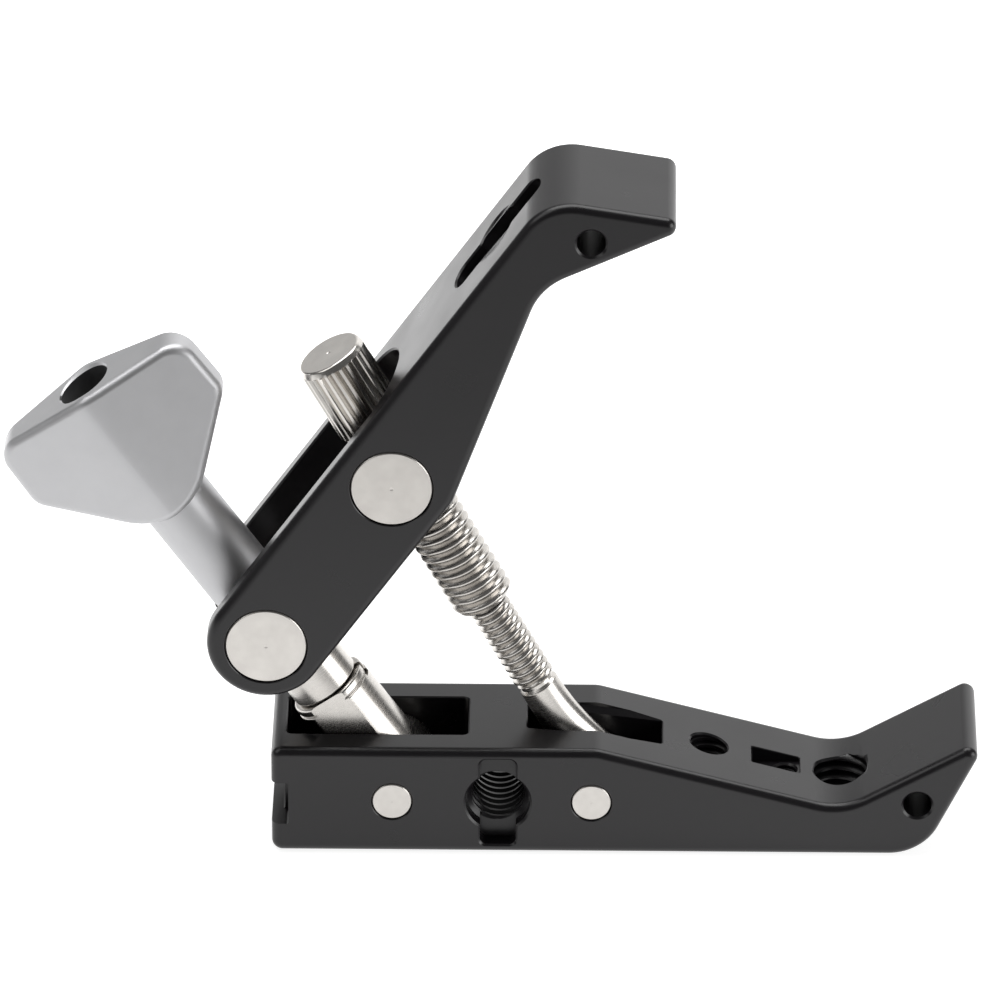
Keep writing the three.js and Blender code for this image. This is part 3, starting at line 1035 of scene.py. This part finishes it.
def paint_bore_shade(body, radius, low, material):
    """Paints shade into the wall and floor of a bore about Z, above low: those faces get a second, dark
    material that is painted shade.
    """
    body.data.materials.append(material)
    for face in body.data.polygons:
        corners = [body.data.vertices[k].co for k in face.vertices]
        inside = all(math.hypot(spot.x, spot.y) < radius * MM for spot in corners)
        if inside and min(spot.z for spot in corners) > low * MM:
            face.material_index = 1


def handle_screw():
    seat = SPINDLE_TOP + 2.4
    tip = SPINDLE_TOP - 9
    top = seat + 4
    shank_r, head_r = 2.4, 3.9
    outline = [
        (0, tip),
        (shank_r, tip, 0.3),
        (shank_r, seat, 0.1),
        (head_r, seat, 0.2),
        (head_r, top, 0.5),
        (0, top),
    ]
    screw = turned("screw", outline, 64)
    hexagon = circle(2.3, 0, 0, 6)
    return combine(screw, [upright(hexagon, seat + 1.6, top + 2), mouth(hexagon, top, 0.15)])


# ---- front link ----------------------------------------------------------------------------------

ROD_R = 3.1
ROD_TOP = 47.5
TUBE_R = 4.72
TUBE_BOTTOM = FRONT_LENGTH - 27.6
RING_R = 3.72
KNOB_R = 5.2
KNOB_BOTTOM = FRONT_LENGTH + 6.2
KNOB_LOW = KNOB_BOTTOM + 0.2
KNOB_TOP = FRONT_LENGTH + 19.2
PLUG_R = 4.02
PLUG_TOP = KNOB_BOTTOM + 8
SHANK_TOP = FRONT_LENGTH - 43.4
SHANK_R = 3.0
FLARE_TOP = SHANK_TOP - 1.2
FLARE_FULL = 4  # the flare is full this high above the pivot
FLARE_REACH = 1.9


def flare(t):
    """How far the rod's end reaches towards +X, at t above its pivot."""
    share = min(1.0, max(0.0, (FLARE_TOP - t) / (FLARE_TOP - FLARE_FULL)))
    return SHANK_R + FLARE_REACH * share ** 2


def rod_ring(t):
    """The rod's end at t: round, but drawn out towards +X where it widens into the eye."""
    ring = []
    for k in range(SMOOTH):
        angle = 2 * math.pi * k / SMOOTH
        x = SHANK_R * math.cos(angle)
        if x > 0:
            x *= flare(t) / SHANK_R
        ring.append((x, SHANK_R * math.sin(angle), t))
    return ring


def front_eye_rod():
    eye = moved(upright(circle(5, 0, 0, 64), -3, 3), TO_BACK)
    heights = [1 + (FLARE_TOP - 1) * k / 16 for k in range(17)]
    shank = loft("rod", [rod_ring(t) for t in [*heights, SHANK_TOP - 0.4]])
    shank_r, neck_r = SHANK_R - 0.01, 2.6
    neck = [
        (0, SHANK_TOP - 2),
        (shank_r, SHANK_TOP - 2),
        (shank_r, SHANK_TOP - 0.3, 0.2),
        (neck_r, SHANK_TOP + 0.1),
        (neck_r, SHANK_TOP + 1),
        (0, SHANK_TOP + 1),
    ]
    combine(shank, [eye, turned("neck", neck, SMOOTH)], "UNION")
    combine(shank, [eye_hole()])
    screw = thread("screw", ROD_R, ROD_R - 0.62, FINE_PITCH, SHANK_TOP + 0.5, ROD_TOP, end_chamfer=0.6)
    return combine(shank, [screw], "UNION")


def screw_tube():
    """The thick screw, hollow for the rod, with a plain plug that holds the knob."""
    ends = (TUBE_BOTTOM, KNOB_BOTTOM)
    tube = thread("tube", TUBE_R, TUBE_R - 0.85, COARSE_PITCH, *ends, hand=-1, end_chamfer=0.9, sides=72)
    low = KNOB_BOTTOM - 1
    plug = turned("plug", [(0, low), (PLUG_R, low), (PLUG_R, PLUG_TOP, 0.4), (0, PLUG_TOP)])
    combine(tube, [plug], "UNION")
    below = TUBE_BOTTOM - 1
    bore = upright(circle(ROD_R + 0.2), below, FRONT_LENGTH + 0.5)
    ring_seat = upright(circle(RING_R + 0.06), below, TUBE_BOTTOM + 2)
    return combine(tube, [bore, ring_seat])


FLUTES = 27
FLUTE_DEPTH = 0.68
CREST = 0.34  # share of a flute's width that stays as the crest
BAND = 0.95  # smooth band above the flutes
BAND_FALL = 0.42  # how far the band leans in
RUN_OUT = 0.25  # where the flutes rise to meet the band
RIM_ROUND = 0.3
FOOT_EDGE = 0.4


def knob_radius(z):
    """The knob's radius without its flutes: chamfered at the foot, with a leaning band at the top."""
    foot = z - KNOB_LOW
    head = KNOB_TOP - z
    if foot < FOOT_EDGE:
        return KNOB_R - FOOT_EDGE + foot
    if head > BAND:
        return KNOB_R
    radius = KNOB_R - BAND_FALL * (1 - head / BAND)
    if head < RIM_ROUND:
        radius -= RIM_ROUND - math.sqrt(max(0.0, RIM_ROUND ** 2 - (RIM_ROUND - head) ** 2))
    return radius


def flute_depth(z):
    """How deep the flutes are at z: they run out just below the band."""
    return FLUTE_DEPTH * min(1.0, max(0.0, (KNOB_TOP - BAND - z) / RUN_OUT))


def knob_ring(z):
    steps = 12
    columns = FLUTES * steps
    ring = []
    for k in range(columns):
        angle = 2 * math.pi * k / columns
        wave = max(0.0, abs(2 * ((k / steps) % 1.0) - 1) - CREST) / (1 - CREST)
        radius = min(KNOB_R - flute_depth(z) * wave, knob_radius(z))
        ring.append((radius * math.cos(angle), radius * math.sin(angle), z))
    return ring


def knurled_knob():
    low = KNOB_LOW
    edge = KNOB_TOP - BAND
    heights = [low, low + FOOT_EDGE / 2, low + FOOT_EDGE, edge - RUN_OUT, edge]
    heights += [edge + 0.3, KNOB_TOP - RIM_ROUND]
    heights += [KNOB_TOP - RIM_ROUND * (1 - math.sin(math.pi / 2 * k / 6)) for k in range(1, 7)]
    knob = loft("knob", [knob_ring(z) for z in heights])
    dimple = [
        (0, KNOB_TOP - 0.18),
        (0.25, KNOB_TOP - 0.1, 0.08),
        (0.7, KNOB_TOP + 0.4),
        (0.7, KNOB_TOP + 1),
        (0, KNOB_TOP + 1),
    ]
    plug_hole = upright(circle(PLUG_R + 0.15), KNOB_BOTTOM - 1, PLUG_TOP + 0.2)
    return combine(knob, [turned("cutter", dimple, 48), plug_hole])


def friction_ring():
    return flat_ring(RING_R, ROD_R + 0.15, 1.6)


# ---- assembly ------------------------------------------------------------------------------------

REAR_MIDDLE = REAR @ shift(0, 0, REAR_LENGTH)
FRONT_MIDDLE = FRONT @ shift(0, 0, FRONT_LENGTH)
BARREL = TO_FRONT @ Matrix.Rotation(math.pi / 2, 4, "Z")
WASHER_R = 6.2
WASHER_HEIGHT = 0.45
THRUST_HEIGHT = 0.6
THRUST_ROOM = 0.2

place(base_body(), "base_body", BASE, ANODISED)
place(arm_body(), "arm_body", ARM_DRAWING, ANODISED)
place(base_pin(), "rear_base_pin", BASE @ shift(REAR_X, 0, MIDDLE) @ TO_FRONT, TURNED)
place(base_pin(), "front_base_pin", BASE @ shift(FRONT_X, 0, MIDDLE) @ TO_FRONT, TURNED)
for end, outwards in (("front", TO_FRONT), ("back", TO_BACK)):
    place(arm_pin(), f"rear_pivot_pin_{end}", ARM @ outwards, TURNED)
    place(arm_pin(), f"front_pivot_pin_{end}", ARM @ shift(ARM_SPAN, 0, 0) @ outwards, TURNED)
    beside = outwards @ shift(0, 0, TRUNNION_HALF + 0.1)
    washer = flat_ring(WASHER_R, SPIGOT_R + 0.15, WASHER_HEIGHT)
    place(washer, f"rear_pivot_washer_{end}", REAR_MIDDLE @ beside, NYLON)
    washer = flat_ring(WASHER_R, RECESS_R, WASHER_HEIGHT)
    place(washer, f"front_pivot_washer_{end}", FRONT_MIDDLE @ beside, NYLON)

place(trunnion(SPINDLE_R + 0.15, "barrel"), "rear_trunnion", REAR_MIDDLE @ BARREL, TURNED)
place(trunnion(TUBE_R + 0.15, "barrel"), "front_trunnion", FRONT_MIDDLE @ BARREL, TURNED)

place(rear_eye(), "rear_eye", REAR, POLISHED)
place(rear_stud(), "rear_stud", REAR, TURNED)
place(stud_lock_screw(), "stud_lock_screw", REAR, POLISHED)
place(handle_sleeve(), "handle_sleeve", REAR, POLISHED)
place(t_handle(), "t_handle", REAR, BLASTED, 40)
# Painted shade on the wall and floor of the handle's top hole.
paint_bore_shade(bpy.data.objects["t_handle_fine"], HANDLE_HOLE_R + 0.2, SPINDLE_TOP + 1, BORE_SHADE)
place(handle_screw(), "handle_screw", REAR, TURNED)
for name, height in (
    ("lower_thrust_washer", -TRUNNION_FLAT - THRUST_HEIGHT - THRUST_ROOM),
    ("upper_thrust_washer", TRUNNION_FLAT + THRUST_ROOM),
):
    washer = flat_ring(SLEEVE_R, SPINDLE_R + 0.15, THRUST_HEIGHT)
    place(washer, name, REAR_MIDDLE @ shift(0, 0, height), POLISHED)

place(front_eye_rod(), "front_eye_rod", FRONT, POLISHED)
place(screw_tube(), "screw_tube", FRONT, POLISHED)
place(friction_ring(), "friction_ring", FRONT @ shift(0, 0, TUBE_BOTTOM + 0.2), NYLON)
place(knurled_knob(), "knurled_knob", FRONT, KNURLED)


# ---- studio --------------------------------------------------------------------------------------


def camera():
    turn = math.radians(0.824)
    rise = math.radians(28.841)
    distance = 1.5
    level = math.cos(rise)
    back = Vector((math.sin(turn) * level, -math.cos(turn) * level, math.sin(rise)))
    target = BASE_ORIGIN + Vector((0.18, 0, 53.84)) * MM
    data = bpy.data.cameras.new("camera")
    data.sensor_width = 36
    data.lens = 369.4
    data.clip_start = 0.05
    data.clip_end = 20
    seen = bpy.data.objects.new("camera", data)
    seen.location = target + back * distance
    seen.rotation_mode = "QUATERNION"
    seen.rotation_quaternion = (-back).to_track_quat("-Z", "Y")
    bpy.context.scene.collection.objects.link(seen)
    bpy.context.scene.camera = seen


def softbox(name, where, size, power):
    """A soft light that faces the clamp from where, in metres from the clamp's middle."""
    data = bpy.data.lights.new(name, "AREA")
    data.shape = "RECTANGLE"
    data.size, data.size_y = size
    data.energy = power
    lamp = bpy.data.objects.new(name, data)
    centre = BASE_ORIGIN + Vector((0.01, 0, 0.04))
    lamp.location = centre + Vector(where)
    lamp.rotation_mode = "QUATERNION"
    lamp.rotation_quaternion = Vector(where).to_track_quat("Z", "Y")
    bpy.context.scene.collection.objects.link(lamp)


def studio_paper():
    """White paper that glows, most of all behind the clamp and to its left."""
    finish = Finish("studio_paper")
    finish.set(Roughness=0.9)
    finish.set(Base_Color=(0.4, 0.4, 0.4, 1))
    finish.set(Emission_Color=(1, 1, 1, 1))
    away = finish.nodes.new("ShaderNodeVectorMath")
    away.operation = "DISTANCE"
    away.inputs[1].default_value = (-0.2, 0.36, 0)
    finish.links.new(finish.place, away.inputs[0])
    near = finish.spread(away.outputs["Value"], 0.02, 0.42, 3.0, 1.0, "SMOOTHSTEP")
    parts = finish.nodes.new("ShaderNodeSeparateXYZ")
    finish.links.new(finish.place, parts.inputs[0])
    tilt = finish.spread(parts.outputs["X"], -0.9, 0.9, 0.5, 1.2)
    front = finish.spread(parts.outputs["Y"], -0.17, -0.06, 0.47, 1.0, "SMOOTHSTEP")
    glow = finish.math("MULTIPLY", finish.math("MULTIPLY", near, tilt), front)
    finish.links.new(glow, finish.surface.inputs["Emission Strength"])
    return finish.material


def floor():
    """A pale sheet under the clamp that rises far behind it."""
    half = 3.0
    bend = half * 0.6
    ground = base_low.z - 0.0001
    path = [(-half, ground), (bend, ground)]
    for k in range(1, 13):
        turn = math.pi / 2 * k / 12
        path.append((bend + math.sin(turn), ground + 1 - math.cos(turn)))
    path.append((bend + 1, ground + 3))
    spots = []
    for y, z in path:
        spots += [(-half, y, z), (half, y, z)]
    faces = [(2 * k, 2 * k + 1, 2 * k + 3, 2 * k + 2) for k in range(len(path) - 1)]
    sheet = solid("studio_floor", spots, faces)
    sheet.data.shade_smooth()
    sheet.data.materials.append(studio_paper())


def world():
    sky = bpy.data.worlds.new("studio")
    sky.use_nodes = True
    background = sky.node_tree.nodes["Background"]
    background.inputs["Color"].default_value = (1, 1, 1, 1)
    background.inputs["Strength"].default_value = 0.12
    bpy.context.scene.world = sky


camera()
world()
floor()
softbox("overhead", (-0.05, 0.22, 1.1), (1.4, 0.7), 12)
softbox("right", (1.2, -0.45, 0.3), (0.9, 0.7), 7.5)
softbox("left", (-1.0, -0.3, 0.9), (0.8, 0.8), 3)
bpy.context.scene.view_settings.view_transform = "Standard"
